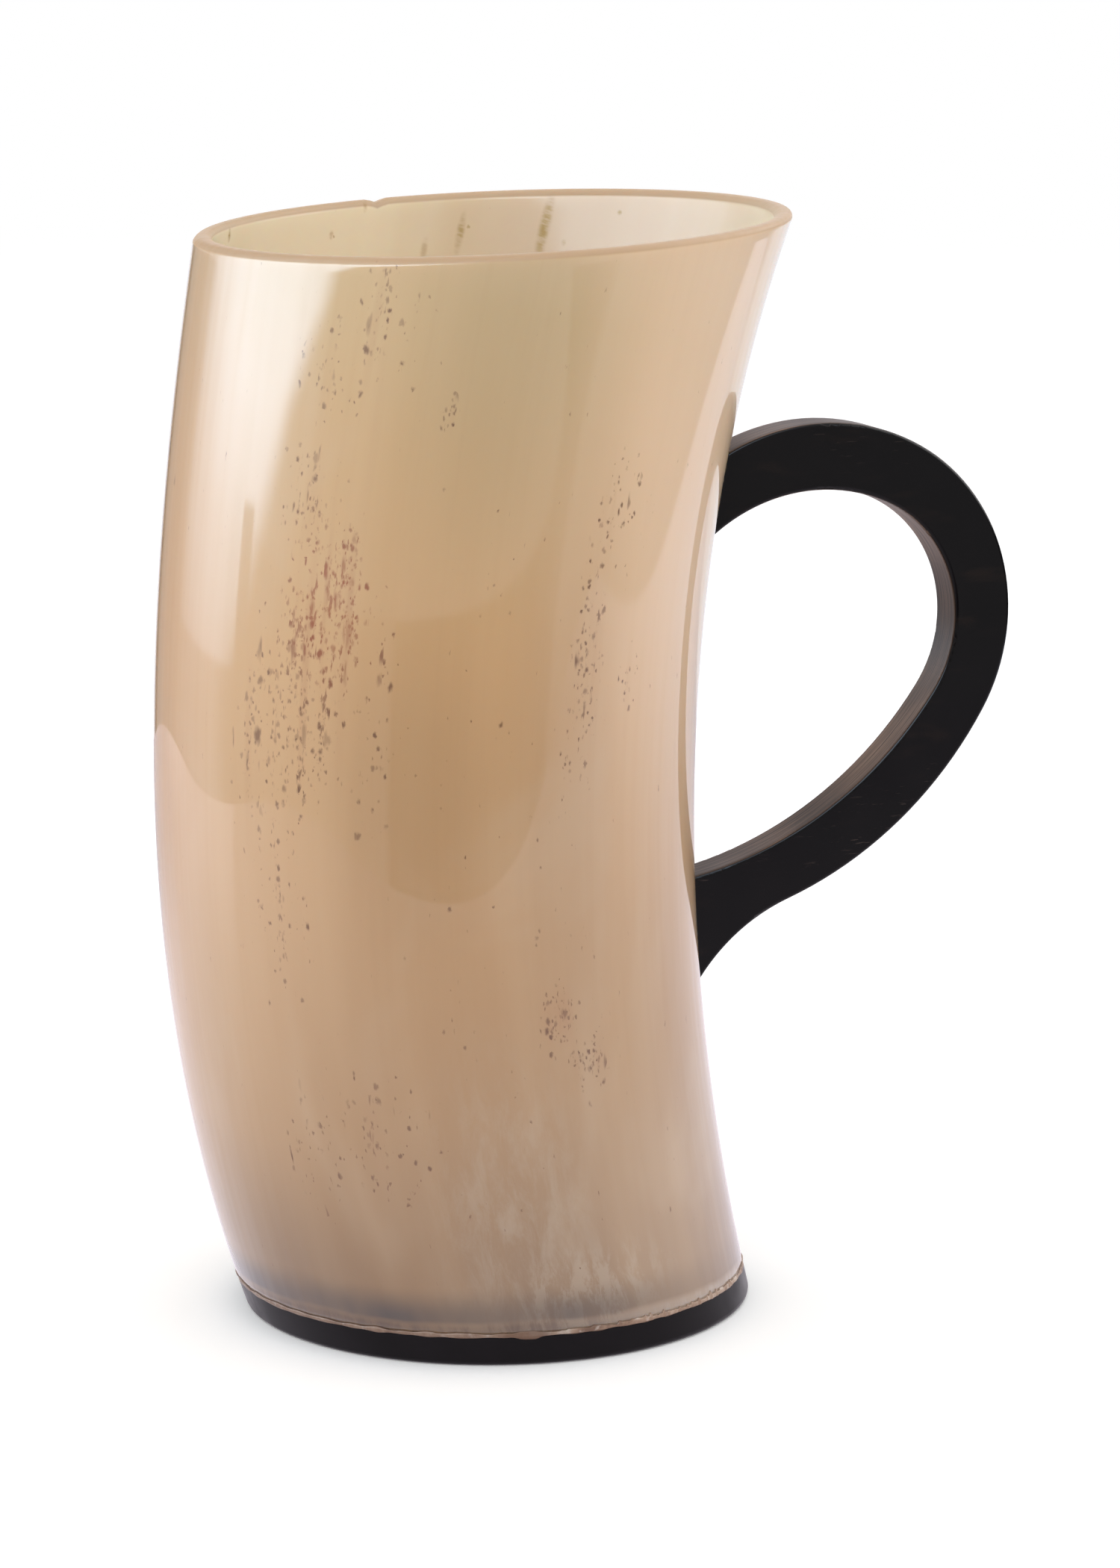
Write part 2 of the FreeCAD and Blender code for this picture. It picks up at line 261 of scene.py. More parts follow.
def make_foot_glue():
    """The squeezed-out glue between horn and foot: a thin ragged bead, fuller and
    crumbly towards the handle, with one chip where it runs down over the foot."""
    angle = np.linspace(0, 2 * np.pi, 4 * AROUND, endpoint=False)
    ragged = wander(angle, range(9, 70, 7), 3)
    crumbs = np.clip(wander(angle, range(60, 300, 11), 4), 0, 2)
    crumbly = np.exp(-((angle_from(angle, CRUMBLY_ANGLE) / CRUMBLY_HALF_WIDTH) ** 2))
    chip = np.exp(-((angle_from(angle, CHIP_ANGLE) / CHIP_HALF_WIDTH) ** 4))
    # how far the bead stands out, and runs up the horn and down the foot
    bulge = MM * (0.12 + 0.03 * ragged + 0.08 * crumbs * crumbly)
    over_horn = MM * (0.14 + 0.08 * ragged + 0.30 * crumbs * crumbly + 0.3 * chip)
    over_foot = MM * (0.10 + 0.05 * ragged + 0.40 * chip)
    middle = (DISC_TOP + HORN_FOOT) / 2
    # points round the bead: how far each stands off the skin, and its height
    section = [
        (-GLUE_DEPTH, DISC_TOP + 0 * angle),
        (-0.08 * MM, DISC_TOP - 0.2 * over_foot),
        (0.0, DISC_TOP - over_foot),
        (0.6 * bulge, DISC_TOP - 0.6 * over_foot),
        (bulge, middle - 0.05 * MM + 0 * angle),
        (bulge, middle + 0.1 * MM + 0 * angle),
        (0.6 * bulge, HORN_FOOT + 0.6 * over_horn),
        (0.0, HORN_FOOT + over_horn),
        (-0.08 * MM, HORN_FOOT + 0.2 * over_horn),
        (-GLUE_DEPTH, HORN_FOOT + 0 * angle),
    ]
    rings = []
    for off, height in section:
        skin = horn_point(angle, station_at(angle, height))
        rings.append(skin + np.stack(
            [off * np.cos(angle), off * np.sin(angle), 0 * angle], axis=-1))
    return ring_mesh("foot_glue_bead", rings, closed=True)


# ------------------------------------------------------------------ materials
def linear(red, green, blue):
    """A colour from its usual 0 to 255 screen values."""
    def channel(value):
        value /= 255
        return value / 12.92 if value <= 0.04045 else ((value + 0.055) / 1.055) ** 2.4
    return (channel(red), channel(green), channel(blue), 1.0)


class Graph:
    """Builds a node tree from calls: each gives back the socket it makes."""

    def __init__(self, tree):
        self.tree = tree

    def node(self, kind, inputs=None, **settings):
        made = self.tree.nodes.new(kind)
        for key, value in settings.items():
            setattr(made, key, value)
        for key, value in (inputs or {}).items():
            socket = made.inputs[key]
            if isinstance(value, bpy.types.NodeSocket):
                self.tree.links.new(value, socket)
            else:
                socket.default_value = value
        return made

    def maths(self, operation, *values, clamp=False):
        inputs = dict(enumerate(values))
        made = self.node("ShaderNodeMath", inputs, operation=operation, use_clamp=clamp)
        return made.outputs[0]

    def product(self, first, *others):
        for other in others:
            first = self.maths("MULTIPLY", first, other)
        return first

    def vector(self, operation, *values):
        made = self.node(
            "ShaderNodeVectorMath", dict(enumerate(values)), operation=operation)
        return made.outputs["Value" if operation in ("LENGTH", "DOT_PRODUCT") else 0]

    def attribute(self, name, output="Vector"):
        return self.node("ShaderNodeAttribute", attribute_name=name).outputs[output]

    def stretch(self, vector, x, y, z):
        return self.vector("MULTIPLY", vector, (x, y, z))

    def noise(self, vector, scale=1.0, detail=3.0, roughness=0.5, distortion=0.0):
        made = self.node("ShaderNodeTexNoise", {
            "Vector": vector, "Scale": scale, "Detail": detail,
            "Roughness": roughness, "Distortion": distortion})
        return made.outputs["Fac"]

    def step(self, value, low, high, to_low=0.0, to_high=1.0):
        """Eases from to_low to to_high as value goes from low to high."""
        made = self.node("ShaderNodeMapRange", {
            "Value": value, "From Min": low, "From Max": high,
            "To Min": to_low, "To Max": to_high}, interpolation_type="SMOOTHSTEP")
        return made.outputs["Result"]

    def ramp(self, value, stops):
        made = self.node("ShaderNodeValToRGB", {"Fac": value})
        points = made.color_ramp.elements
        while len(points) < len(stops):
            points.new(0.5)
        for point, (place, colour) in zip(points, stops):
            point.position = place
            point.color = colour
        return made.outputs["Color"]

    def levels(self, value, low, high, stops):
        """Grey levels at values between low and high."""
        share = self.maths(
            "MULTIPLY_ADD", value, 1 / (high - low), -low / (high - low), clamp=True)
        return self.ramp(share, [
            ((at - low) / (high - low), (level, level, level, 1)) for at, level in stops])

    def mix(self, factor, first, second, blend="MIX"):
        made = self.node(
            "ShaderNodeMix", {0: factor, 6: first, 7: second},
            data_type="RGBA", blend_type=blend, clamp_factor=True)
        return made.outputs[2]

    def separate(self, vector):
        return self.node("ShaderNodeSeparateXYZ", {"Vector": vector}).outputs

    def bump(self, height, distance, strength=1.0, normal=None):
        inputs = {"Height": height, "Distance": distance, "Strength": strength}
        if normal is not None:
            inputs["Normal"] = normal
        return self.node("ShaderNodeBump", inputs).outputs["Normal"]


def material(name):
    """An empty material and its graph, with a Principled surface to fill in."""
    made = bpy.data.materials.new(name)
    made.use_nodes = True
    made.node_tree.nodes.clear()
    graph = Graph(made.node_tree)
    surface = graph.node("ShaderNodeBsdfPrincipled")
    output = graph.node("ShaderNodeOutputMaterial")
    made.node_tree.links.new(surface.outputs["BSDF"], output.inputs["Surface"])
    return made, graph, surface


def plug_in(graph, surface, **inputs):
    """Links or sets a surface's inputs; an underscore stands for a space."""
    for key, value in inputs.items():
        socket = surface.inputs[key.replace("_", " ")]
        if isinstance(value, bpy.types.NodeSocket):
            graph.tree.links.new(value, socket)
        else:
            socket.default_value = value


# ---- horn: places are degrees round from the handle, and millimetres up the horn

# Its tone from the foot, 0, to the lip, 1. It is partly the horn's own tone and partly
# painted light and shade: darker low down, where less light passes through the thick
# wall past the black foot, and lighter up high, where light shines through the wall.
HORN_LENGTH = 0.15
HORN_TONES_WITH_LIGHT = [
    (0.02, (120, 90, 60)),
    (0.10, (137, 104, 70)),
    (0.24, (165, 128, 88)),
    (0.45, (184, 145, 103)),
    (0.62, (191, 151, 105)),
    (0.80, (193, 158, 111)),
    (0.92, (194, 166, 122)),
    (1.00, (204, 180, 144)),
]

# Soft patches of another tone, most of them painted light and shade: degrees,
# millimetres up, half width, half height, strength, colour. A painted glow stands for
# light that falls in at the mouth and shines through the wall near the handle, a pale
# patch on the left is painted light, and the middle of the front is painted darker as
# shade, for it faces the dark room in front.
HORN_LIGHT_AND_TONE_PATCHES = [
    (-50, 128, 34, 75, 0.55, (232, 204, 178)),
    (-102, 130, 20, 34, 0.22, (140, 128, 96)),
    (-152, 80, 20, 72, 0.22, (234, 198, 158)),
    (-82, 76, 12, 62, 0.24, (146, 112, 80)),
    (-113, 78, 16, 27, 0.22, (136, 104, 68)),
    (168, 100, 24, 90, 0.40, (214, 158, 112)),
    (-60, 14, 24, 32, 0.30, (206, 178, 150)),
    (-166, 8, 28, 30, 0.40, (96, 74, 56)),
]
# Painted light and shade in the bore, in the same columns: a pale patch of painted light on
# its back left, and a duller patch of painted shade on its back right.
BORE_LIGHT_PATCHES = [
    (116, 142, 26, 52, 0.80, (255, 238, 214)),
    (34, 144, 38, 60, 0.75, (208, 184, 156)),
]

# Groups of brown flecks: degrees, millimetres up, half width, half height, and how
# crowded they are.
FLECK_GROUPS = [
    (-127, 133, 5, 8, 0.55),
    (-138, 126, 5, 6, 0.35),
    (-140, 111, 5, 8, 0.4),
    (-130, 103, 4, 6, 1.3),
    (-133, 97, 8, 7, 0.8),
    (-139, 86, 7, 12, 0.8),
    (-122, 86, 3, 16, 0.7),
    (-147, 83, 6, 14, 0.35),
    (-142, 62, 4, 14, 0.5),
    (-142, 34, 4, 9, 0.7),
    (-126, 35, 8, 9, 0.35),
    (-79, 92, 3, 18, 0.6),
    (-73, 115, 4, 8, 0.5),
    (-67, 92, 3, 5, 0.4),
    (-84, 48, 3, 4, 0.8),
    (-78, 41, 3, 4, 0.8),
    (-113, 124, 1.2, 3, 1.0),
    (-100, 60, 14, 60, 0.03),
    (52, 96, 7, 24, 0.6),
    (118, 62, 6, 22, 0.7),
    (160, 108, 8, 16, 0.5),
]

# Kinds of fleck: cell width and height in millimetres, size in the cell, how many
# cells are filled, and a seed.
FLECK_SIZES = [
    (1.1, 1.7, 0.34, 0.45, 1),
    (1.3, 6.0, 0.28, 0.40, 2),
    (0.8, 1.1, 0.36, 0.50, 3),
    (0.5, 0.9, 0.38, 0.28, 8),
    (1.6, 3.4, 0.30, 0.22, 6),
]

# Stains in the bore: degrees, millimetres up, half width, half height, strength.
BORE_STREAKS = [
    (54.4, 149.5, 1.1, 7.0, 1.0),
    (72.6, 145.5, 0.8, 4.0, 0.8),
    (80.0, 142.0, 0.7, 2.2, 0.5),
    (103.0, 141.0, 0.5, 0.8, 1.0),
    (139.9, 138.1, 0.7, 1.0, 1.0),
    (49.3, 148.1, 0.5, 0.7, 0.8),
    (38.1, 154.8, 0.5, 0.6, 0.8),
    (95.5, 146.3, 0.5, 1.6, 0.7),
    (200.0, 120.0, 1.2, 14.0, 0.5),
    (-60.0, 130.0, 1.2, 12.0, 0.5),
]


def distance_from(graph, grain, degrees, height, half_width, half_height):
    """Distance from a place on the horn, 1 at the given half sizes in millimetres."""
    turn = math.radians(degrees)
    centre = (
        SECTION_RADIUS[0] * math.cos(turn),
        SECTION_RADIUS[0] * math.sin(turn),
        height * MM,
    )
    offset = graph.vector("SUBTRACT", grain, centre)
    spread = graph.stretch(
        offset, 1 / (half_width * MM), 1 / (half_width * MM), 1 / (half_height * MM))
    return graph.vector("LENGTH", spread)


def patch(graph, grain, *place_and_size):
    """1 at a place on the horn, easing to 0 at the given half sizes."""
    return graph.step(distance_from(graph, grain, *place_and_size), 1.0, 0.15)


def tint(graph, tone, amount, share, colour):
    """Mixes a screen colour into a tone, by share of amount."""
    return graph.mix(graph.maths("MULTIPLY", amount, share), tone, linear(*colour))


def patched(graph, grain, tone, patches):
    for *place_and_size, strength, colour in patches:
        spot = patch(graph, grain, *place_and_size)
        tone = tint(graph, tone, spot, strength, colour)
    return tone


def fleck_crowding(graph, grain):
    """How likely a fleck is here, from the groups above."""
    total = 0.0
    for *place_and_size, crowding in FLECK_GROUPS:
        distance = distance_from(graph, grain, *place_and_size)
        total = graph.maths("ADD", total, graph.step(distance, 1.3, 0.1, 0.0, crowding))
    return total


def flecks(graph, grain, width, height, size, crowding, seed):
    """Streaks of pigment: cells stretched along the horn, some of them filled."""
    place = graph.vector("ADD", grain, (seed * 0.37, seed * 0.11, seed * 0.23))
    cells = graph.stretch(place, 1 / width, 1 / width, 1 / height)
    wobble = graph.node("ShaderNodeTexNoise", {"Vector": cells, "Scale": 1.7})
    shift = graph.stretch(wobble.outputs["Color"], 0.8, 0.8, 0.6)
    cells = graph.vector("ADD", cells, shift)
    voronoi = graph.node("ShaderNodeTexVoronoi", {"Vector": cells, "Scale": 1.0})
    chance = graph.separate(voronoi.outputs["Color"])
    filled = graph.maths("LESS_THAN", chance[0], crowding)
    reach = graph.maths("MULTIPLY_ADD", chance[1], size * 0.8, size * 0.45)
    inside = graph.step(
        graph.maths("DIVIDE", voronoi.outputs["Distance"], reach), 1.15, 0.35)
    depth = graph.maths("MULTIPLY_ADD", chance[2], 0.6, 0.4)
    return graph.product(filled, inside, depth)


class HornNoise:
    """The noises that several parts of the horn's material share."""

    def __init__(self, graph, grain):
        self.broad = graph.noise(graph.stretch(grain, 70, 70, 7), detail=3.0)
        self.fine = graph.noise(
            graph.stretch(grain, 600, 600, 14), detail=4.0, roughness=0.6)
        self.cloudy = graph.noise(
            graph.stretch(grain, 45, 45, 22), detail=3.0, distortion=0.5)
        self.wisps = graph.noise(
            graph.stretch(grain, 380, 380, 130), detail=7.0, roughness=0.7, distortion=0.3)


def body_tone(graph, grain, noise):
    """Tone from foot to lip, with painted light and shade, streaked where the horn's
    layers run out at the skin.
    """
    length = graph.maths("DIVIDE", graph.separate(grain)["Z"], HORN_LENGTH, clamp=True)
    tone = graph.ramp(length, [(at, linear(*colour)) for at, colour in HORN_TONES_WITH_LIGHT])
    tone = graph.mix(
        graph.step(noise.broad, 0.35, 0.75, 0.0, 0.24), tone, linear(212, 182, 146))
    tone = graph.mix(
        graph.step(noise.fine, 0.45, 0.75, 0.0, 0.06), tone, linear(160, 120, 82))
    tone = graph.mix(
        graph.step(noise.cloudy, 0.50, 0.75, 0.0, 0.30), tone, linear(200, 178, 152))
    tone = patched(graph, grain, tone, HORN_LIGHT_AND_TONE_PATCHES)
    # milky cloud low on the front, in fine broken streaks
    cloud = graph.product(
        patch(graph, grain, -99, 22, 17, 32), graph.step(noise.wisps, 0.36, 0.70, 0.25, 1.0))
    low_cloud = graph.product(
        patch(graph, grain, -84, 9, 16, 9), graph.step(noise.wisps, 0.46, 0.62))
    cloud = graph.maths("ADD", cloud, low_cloud, clamp=True)
    return tint(graph, tone, cloud, 0.34, (190, 176, 158))


def seam_tone(graph, grain, noise, tone):
    """The foot's black plug shows through the horn as a soft grey band, and the glue
    below it as a stain, brown at the left and milky at the right."""
    height = graph.separate(graph.node("ShaderNodeTexCoord").outputs["Object"])["Z"]
    ragged = graph.maths("MULTIPLY_ADD", noise.cloudy, 2.4 * MM, height)
    right = patch(graph, grain, -52, 8, 34, 60)
    patchy = graph.step(graph.noise(graph.stretch(grain, 70, 70, 40)), 0.35, 0.6, 0.55, 0.95)
    band = graph.product(
        graph.step(ragged, 6.6 * MM, 7.6 * MM),
        graph.step(ragged, 12.6 * MM, 7.8 * MM),
        patchy,
        graph.maths("MULTIPLY_ADD", right, -0.78, 1.0))
    tone = graph.mix(band, tone, linear(64, 50, 42))
    stained = graph.product(
        graph.step(ragged, 7.6 * MM, 6.4 * MM),
        graph.step(noise.wisps, 0.35, 0.62, 0.85, 0.45))
    stain = graph.mix(right, linear(74, 50, 34), linear(176, 158, 144))
    return graph.mix(stained, tone, stain)


def horn_flecks(graph, grain):
    """Brown pigment in strings along the horn: how much of it, and of the faint stain
    round it."""
    strings = graph.noise(graph.stretch(grain, 420, 420, 12), detail=2.0)
    crowding = graph.product(
        fleck_crowding(graph, grain), graph.step(strings, 0.40, 0.60, 0.55, 2.8))
    pigment = 0.0
    for width, tall, size, share, seed in FLECK_SIZES:
        layer = flecks(graph, grain, width * MM, tall * MM, size,
                       graph.maths("MULTIPLY", crowding, share), seed)
        pigment = graph.maths("MAXIMUM", pigment, layer)
    smear = graph.noise(graph.stretch(grain, 1500, 1500, 420), detail=3.0, roughness=0.6)
    dense = graph.maths("MINIMUM", crowding, 1.2)
    smear = graph.maths("MULTIPLY_ADD", dense, 0.10, smear)
    pigment = graph.maths("MAXIMUM", pigment, graph.step(smear, 0.70, 0.80, 0.0, 0.75))
    halo = graph.product(graph.step(strings, 0.50, 0.70), crowding)
    return pigment, halo


def bore_tone(graph, grain, noise):
    """The bore is paler, partly its own tone and partly painted light that shines through
    the wall, with patches of painted light and shade and faint green-brown streaks
    and dots.
    """
    tone = graph.mix(
        graph.step(noise.broad, 0.3, 0.7), linear(240, 230, 204), linear(232, 216, 182))
    tone = patched(graph, grain, tone, BORE_LIGHT_PATCHES)
    marks = flecks(graph, grain, 2.4 * MM, 3.0 * MM, 0.14, 0.10, 5)
    hatch = graph.noise(graph.stretch(grain, 500, 500, 1500), detail=3.0)
    hatch = graph.step(hatch, 0.35, 0.6, 0.4, 1.0)
    for *place_and_size, strength in BORE_STREAKS:
        streak = graph.product(patch(graph, grain, *place_and_size), hatch, strength)
        marks = graph.maths("MAXIMUM", marks, streak)
    return tint(graph, tone, marks, 0.8, (168, 134, 40))


def horn_material():
    made, graph, surface = material("pale_horn")
    grain = graph.attribute("grain")
    inside = graph.attribute("inside", "Fac")
    noise = HornNoise(graph, grain)

    tone = body_tone(graph, grain, noise)
    tone = seam_tone(graph, grain, noise, tone)
    pigment, halo = horn_flecks(graph, grain)
    tone = tint(graph, tone, halo, 0.12, (160, 108, 72))
    # rustiest in the thick of the flecks
    rust = graph.mix(
        patch(graph, grain, -132, 100, 12, 16), linear(96, 54, 24), linear(134, 54, 14))
    tone = graph.mix(graph.maths("MULTIPLY", pigment, 0.92), tone, rust)
    tone = graph.mix(graph.step(inside, 0.7, 1.0), tone, bore_tone(graph, grain, noise))
    # painted shade: the rounded lip is made a little browner than either side of it, so
    #     that it stays dark against the light from above
    across_lip = graph.product(inside, graph.maths("SUBTRACT", 1.0, inside))
    rounding = graph.step(across_lip, 0.0, 0.03)
    tone = tint(graph, tone, graph.step(across_lip, 0.0, 0.04), 0.7, (178, 150, 122))

    scratches = graph.noise(graph.stretch(grain, 2600, 2600, 40), detail=2.0)
    relief = graph.bump(scratches, 0.002 * MM, 0.3)
    polish = graph.bump(noise.fine, 0.003 * MM, 0.4, relief)
    # the outside is buffed to a gloss, the bore and the lip less so
    specular = graph.product(
        graph.step(rounding, 0.0, 1.0, 0.5, 0.2), graph.step(inside, 0.5, 1.0, 1.0, 0.5))
    coat = graph.product(
        graph.step(rounding, 0.0, 1.0, 1.0, 0.12), graph.step(inside, 0.5, 1.0, 1.0, 0.52))
    coat_roughness = graph.maths(
        "ADD", graph.step(noise.broad, 0.3, 0.7, 0.012, 0.03),
        graph.step(inside, 0.0, 1.0, 0.0, 0.16))
    plug_in(
        graph, surface, Base_Color=tone,
        Roughness=graph.step(noise.fine, 0.3, 0.7, 0.42, 0.55), IOR=1.5,
        Specular_IOR_Level=specular, Coat_Weight=coat, Coat_IOR=1.55,
        Coat_Roughness=coat_roughness,
        Subsurface_Weight=graph.step(pigment, 0.0, 0.6, 0.35, 0.08),
        Subsurface_Radius=(1.0, 0.55, 0.28), Subsurface_Scale=4.0 * MM,
        Normal=relief, Coat_Normal=polish)
    return made


# ---- the other pieces
def black_horn_material():
    made, graph, surface = material("black_horn")
    place = graph.node("ShaderNodeTexCoord").outputs["Object"]
    normal = graph.separate(graph.node("ShaderNodeNewGeometry").outputs["True Normal"])
    # the flat faces were polished, the sawn edges only brushed, along their length
    face = graph.step(graph.maths("ABSOLUTE", normal["Y"]), 0.35, 0.8)
    mottle = graph.noise(place, scale=110, detail=5.0)
    brown = graph.noise(graph.stretch(place, 60, 60, 220), detail=4.0)
    brushed = graph.noise(graph.stretch(place, 60, 5200, 60), detail=4.0, roughness=0.7)
    worn = graph.noise(place, scale=45, detail=2.0)

    face_tone = graph.mix(mottle, linear(5, 4, 6), linear(15, 12, 14))
    face_tone = graph.mix(
        graph.step(brown, 0.55, 0.75, 0.0, 0.5), face_tone, linear(34, 24, 20))
    nicks = flecks(graph, place, 5 * MM, 5 * MM, 0.06, 0.07, 7)
    face_tone = tint(graph, face_tone, nicks, 0.5, (120, 104, 92))
    hairs = graph.step(graph.noise(graph.stretch(place, 300, 50, 2400)), 0.62, 0.70)
    hairs = graph.product(hairs, graph.step(worn, 0.54, 0.70, 0.0, 0.3))
    face_tone = graph.mix(hairs, face_tone, linear(92, 78, 72))

    edge_tone = graph.mix(
        graph.step(brushed, 0.38, 0.66), linear(58, 42, 34), linear(146, 118, 100))
    edge_tone = graph.mix(
        graph.step(worn, 0.4, 0.65, 0.0, 0.6), edge_tone, linear(36, 29, 28))
    # painted shade: darkest where the edge stands upright, lighter where it faces up or
    #     down
    upright_shade = graph.step(graph.maths("ABSOLUTE", normal["Z"]), 0.85, 0.2, 0.0, 0.65)
    edge_tone = graph.mix(upright_shade, edge_tone, linear(40, 32, 30))

    scratch = graph.noise(graph.stretch(place, 260, 260, 2600), detail=3.0)
    relief = graph.mix(face, brushed, scratch)
    relief = graph.bump(relief, 0.006 * MM, 0.5)
    roughness = graph.step(face, 0.0, 1.0, 0.42, 0.13)
    scuffed = graph.step(worn, 0.52, 0.72, 0.0, 0.10)
    plug_in(
        graph, surface, Base_Color=graph.mix(face, edge_tone, face_tone),
        Roughness=graph.maths("ADD", roughness, scuffed), IOR=1.5,
        Specular_IOR_Level=graph.step(face, 0.0, 0.5, 0.3, 0.17), Normal=relief)
    return made


def foot_material():
    made, graph, surface = material("black_foot")
    place = graph.node("ShaderNodeTexCoord").outputs["Object"]
    mottle = graph.noise(place, scale=140, detail=5.0)
    tone = graph.mix(mottle, linear(9, 7, 8), linear(19, 14, 17))
    turned = graph.noise(graph.stretch(place, 30, 30, 2400), detail=3.0)
    relief = graph.bump(turned, 0.006 * MM, 0.5)
    roughness = graph.step(mottle, 0.35, 0.65, 0.28, 0.40)
    plug_in(graph, surface, Base_Color=tone, Roughness=roughness, IOR=1.42,
            Specular_IOR_Level=0.16, Normal=relief)
    return made


def foot_glue_material():
    made, graph, surface = material("foot_glue")
    place = graph.node("ShaderNodeTexCoord").outputs["Object"]
    chip_angle = np.array(CHIP_ANGLE)
    chip_place = tuple(horn_point(chip_angle, station_at(chip_angle, DISC_TOP)))
    pale = graph.noise(place, scale=260, detail=5.0, roughness=0.65)
    crumbs = graph.noise(place, scale=900, detail=3.0)
    tone = graph.ramp(pale, [
        (0.34, linear(112, 82, 64)),
        (0.44, linear(146, 116, 96)),
        (0.58, linear(176, 150, 132)),
        (0.68, linear(200, 184, 172)),
    ])
    tone = graph.mix(graph.step(crumbs, 0.55, 0.7, 0.0, 0.5), tone, linear(214, 202, 194))
    # it is brown where the bead runs down over the foot
    height = graph.separate(place)["Z"]
    low = graph.step(height, DISC_TOP + 0.1 * MM, DISC_TOP - 0.1 * MM, 0.0, 0.8)
    tone = graph.mix(low, tone, linear(112, 80, 58))
    # darker on the side away from the handle, and brown again at the chip
    away = graph.step(graph.separate(place)["X"], 0.012, -0.016, 0.0, 0.55)
    tone = graph.mix(away, tone, linear(104, 80, 66))
    chip = graph.vector("LENGTH", graph.vector("SUBTRACT", place, chip_place))
    tone = graph.mix(
        graph.step(chip, 4.5 * MM, 2.0 * MM, 0.0, 0.8), tone, linear(104, 74, 54))
    relief = graph.bump(crumbs, 0.12 * MM, 0.8)
    plug_in(graph, surface, Base_Color=tone, Roughness=0.45, Normal=relief)
    return made


def plain_material(name, light, dark, roughness, scale):
    """A finely mottled material between two tones."""
    made, graph, surface = material(name)
    place = graph.node("ShaderNodeTexCoord").outputs["Object"]
    mottle = graph.noise(place, scale=scale, detail=5.0)
    relief = graph.bump(mottle, 0.05 * MM, 0.5)
    plug_in(graph, surface, Base_Color=graph.mix(mottle, light, dark),
            Roughness=roughness, Normal=relief)
    return made


# ------------------------------------------------------------------ pieces
horn = make_horn()
horn.data.materials.append(horn_material())
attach(horn, "root")
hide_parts("horn_shell")

foot_glue = make_foot_glue()
foot_glue.data.materials.append(foot_glue_material())
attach(foot_glue, "root")
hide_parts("foot_glue")

black_horn = black_horn_material()
finishes = {
    "handle": black_horn,
    "foot_disc": foot_material(),
    "floor_seal": plain_material(
        "floor_resin", linear(58, 46, 36), linear(40, 30, 24), 0.12, 90),
    "upper_dowel": plain_material(
        "dowel_wood", linear(190, 150, 104), linear(150, 108, 70), 0.6, 700),
    "upper_handle_glue": plain_material(
        "handle_glue", linear(112, 92, 74), linear(60, 46, 38), 0.3, 900),
}
finishes["lower_dowel"] = finishes["upper_dowel"]
finishes["lower_handle_glue"] = finishes["upper_handle_glue"]
for name, finish in finishes.items():
    nodes[name].data.materials.clear()
    nodes[name].data.materials.append(finish)


# ------------------------------------------------------------------ studio
# The softbox's brightness across, at degrees round from the front, and up, at degrees
# above the horizon.
SOFTBOX_ACROSS = [
    (-160, 0.0), (-151, 0.06), (-148.5, 0.19), (-135, 0.50), (-123, 0.76), (-108, 1.0)]
SOFTBOX_UP = [
    (-8.8, 0.0), (-6.9, 0.04), (-6.5, 0.30), (-3.0, 0.54), (-0.4, 0.78), (2.4, 1.0)]
SOFTBOX_COLOUR = (4.8, 6.0, 7.3, 1)
BACKDROP_COLOUR = (0.95, 0.97, 1.05, 1)
BLACK = (0, 0, 0, 1)


def room_light(graph, turn, rise):
    """The room in front: dark below, where a stand is darkest of all, lighter above
    the stand's sloping top."""
    stand = graph.product(graph.step(turn, -39, -34), graph.step(turn, 32, 28))
    left_room = graph.step(turn, -35, -65, 0.48, 0.30)
    room = graph.step(turn, 30, 50, left_room, 0.10)
    room = graph.product(room, graph.maths("MULTIPLY_ADD", stand, -0.95, 1.0))
    stand_top = graph.maths("MULTIPLY_ADD", turn, -0.075, -9.4)
    lighter = graph.product(
        graph.step(graph.maths("SUBTRACT", rise, stand_top), -0.1, 0.1),
        graph.step(turn, 55, 38), 0.65)
    return graph.maths("MAXIMUM", room, lighter)


def softbox_light(graph, turn, rise):
    """The softbox: its right edge leans, its lower part fades, and a post crosses it."""
    lean = graph.maths("MULTIPLY_ADD", graph.maths("MAXIMUM", rise, 2.0), -0.5, -1.2)
    right_edge = graph.maths("MULTIPLY_ADD", graph.maths("MINIMUM", rise, 4.4), lean, turn)
    beside_post = graph.maths("ABSOLUTE", graph.maths("ADD", turn, 107))
    post = graph.product(graph.step(beside_post, 4, 2), graph.step(rise, -0.6, -1.2))
    return graph.product(
        graph.levels(turn, -180, -80, SOFTBOX_ACROSS),
        graph.step(right_edge, -91, -104),
        graph.levels(rise, -10, 10, SOFTBOX_UP),
        graph.step(rise, 65, 45),
        graph.maths("MULTIPLY_ADD", post, -0.8, 1.0))


def backdrop_share(graph, turn):
    """1 where the white backdrop is, behind the mug, with a dim gap by the softbox."""
    behind = graph.maths("GREATER_THAN", turn, 0.0)
    turn_left = graph.maths("MULTIPLY_ADD", behind, -360.0, turn)
    gap = graph.product(
        graph.step(turn_left, -190, -184), graph.step(turn_left, -120, -160))
    return graph.product(
        graph.step(graph.maths("ABSOLUTE", turn), 112, 124),
        graph.maths("SUBTRACT", 1.0, gap))


def high_light(graph, turn, rise):
    """Light from overhead, and from a panel high on the right."""
    right_panel = graph.product(
        graph.step(turn, 45, 60), graph.step(turn, 125, 110),
        graph.step(rise, 4, 12, 0.0, 3.0), graph.step(rise, 60, 50))
    return graph.maths("ADD", graph.step(rise, 40, 60, 0.0, 0.9), right_panel)


